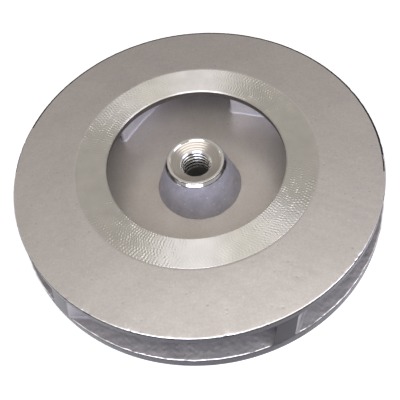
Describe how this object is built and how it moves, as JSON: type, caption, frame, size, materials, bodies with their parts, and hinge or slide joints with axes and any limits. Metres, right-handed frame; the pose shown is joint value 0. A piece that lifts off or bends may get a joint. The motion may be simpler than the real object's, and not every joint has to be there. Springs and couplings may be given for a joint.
{
  "type": "pump impeller",
  "caption": "Closed centrifugal pump impeller with backward curved vanes between two shrouds, a machined suction eye and a hub with a threaded bore.",
  "frame": {"origin": "centre of the flat back face, on the shaft axis", "axes": "+Z along the shaft axis, out of the suction eye; +X to the right of the picture"},
  "size_m": [0.1554, 0.1554, 0.0262],
  "materials": {
    "cast_steel": "investment cast stainless steel, fine grained and dull, lightly pitted",
    "turned_steel": "face turned stainless steel, bright, with feed lines and chatter marks",
    "passage_steel": "raw cast stainless steel, sandy grain"
  },
  "bodies": {
    "root": {"back_shroud": "cast_steel", "front_shroud": "cast_steel", "hub": "turned_steel", "vane_1": "passage_steel", "vane_2": "passage_steel", "vane_3": "passage_steel", "vane_4": "passage_steel", "vane_5": "passage_steel"}
  },
  "joints": []
}
